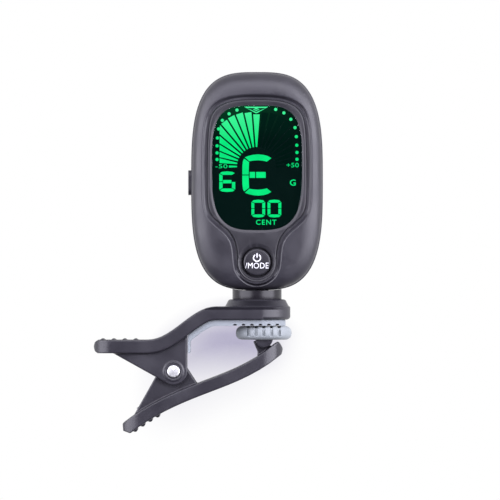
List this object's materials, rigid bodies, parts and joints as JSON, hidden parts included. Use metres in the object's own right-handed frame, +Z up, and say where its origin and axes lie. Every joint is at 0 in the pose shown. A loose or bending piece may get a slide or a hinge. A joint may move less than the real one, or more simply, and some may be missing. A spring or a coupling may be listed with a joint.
{
  "type": "clip-on tuner",
  "caption": "Clip-on instrument tuner: portrait display head with a lit tuning screen and mode button, on a turning and tilting neck over a sprung clip with rubber pads.",
  "frame": {"origin": "on the neck's turning axis, at the gripping face of the upper rubber pad", "axes": "+Z up along the neck's turning axis through the head, -Y out of the display face, +X to the right of a reader, away from the clip's handles"},
  "size_m": [0.0522, 0.015, 0.0823],
  "materials": {
    "shell": "fine spark-textured moulded plastic",
    "clip_plastic": "moulded plastic with a low satin sheen",
    "bezel_plastic": "smooth moulded plastic",
    "lens_glass": "tinted clear window",
    "lcd": "liquid crystal glass",
    "diffuser": "milky light guide",
    "zebra": "striped conductive rubber",
    "board": "solder-masked glass-fibre board",
    "epoxy": "cured epoxy",
    "component_tan": "fired ceramic",
    "switch_black": "moulded switch housing",
    "plunger_red": "moulded plunger",
    "plunger_white": "moulded plunger",
    "button": "moulded button with a low sheen",
    "steel": "turned and rolled steel",
    "pin_steel": "polished steel",
    "spring_steel": "drawn spring wire",
    "contact": "plated spring sheet",
    "brass": "rolled brass",
    "ceramic": "fired ceramic",
    "wire": "insulated wire",
    "grip_rubber": "soft moulded rubber"
  },
  "bodies": {
    "upper_clip": {"upper_jaw": "clip_plastic", "upper_pad": "grip_rubber", "pivot_pin": "pin_steel", "jaw_spring": "spring_steel"},
    "lower_clip": {"lower_jaw": "clip_plastic"},
    "grip_pad": {"pad_foot": "clip_plastic", "lower_pad": "grip_rubber"},
    "neck": {"neck_post": "clip_plastic", "swivel_washer": "steel", "swivel_screw": "steel"},
    "head": {"rear_cover": "shell", "front_cover": "shell", "tilt_pin": "steel", "bezel": "bezel_plastic", "lens": "lens_glass", "lcd_glass": "lcd", "backlight": "diffuser", "zebra_strip": "zebra", "circuit_board": "board", "controller_chip": "epoxy", "crystal": "steel", "capacitors": "component_tan", "mode_switch": "switch_black", "side_switch": "switch_black", "coin_cell": "steel", "contact_plus": "contact", "contact_minus": "contact", "piezo_plate": "brass", "piezo_ceramic": "ceramic", "piezo_leads": "wire", "case_screws": "steel"},
    "door": {"battery_door": "shell"},
    "mode_key": {"mode_button": "button", "mode_plunger": "plunger_red"},
    "side_key": {"side_button": "button", "side_plunger": "plunger_white"}
  },
  "joints": [
    {"name": "jaw_open", "type": "hinge", "parent": "upper_clip", "child": "lower_clip", "pos_m": [-0.019, 0, -0.0103], "axis": [0, 1, 0], "range_deg": [0, 35], "stiffness_Nm_per_rad": 0.12, "springref_deg": -20.05, "deforming": ["jaw_spring"]},
    {"name": "pad_tilt", "type": "hinge", "parent": "lower_clip", "child": "grip_pad", "pos_m": [0.0016, 0, -0.0029], "axis": [0, 1, 0], "range_deg": [-35, 0]},
    {"name": "swivel", "type": "hinge", "parent": "upper_clip", "child": "neck", "pos_m": [0, 0, 0.0061], "axis": [0, 0, 1], "continuous": true},
    {"name": "head_tilt", "type": "hinge", "parent": "neck", "child": "head", "pos_m": [0, 0.003, 0.0119], "axis": [-1, 0, 0], "range_deg": [0, 90]},
    {"name": "mode_press", "type": "slide", "parent": "head", "child": "mode_key", "axis": [0, 1, 0], "range_m": [0, 0.00035], "stiffness_N_per_m": 600},
    {"name": "side_press", "type": "slide", "parent": "head", "child": "side_key", "axis": [1, 0, 0], "range_m": [0, 0.0003], "stiffness_N_per_m": 600},
    {"name": "door_lift", "type": "slide", "parent": "head", "child": "door", "axis": [0, 1, 0], "range_m": [0, 0.012]}
  ],
  "couplings": [
    {"joint": "pad_tilt", "follows": "jaw_open", "ratio": -1}
  ]
}
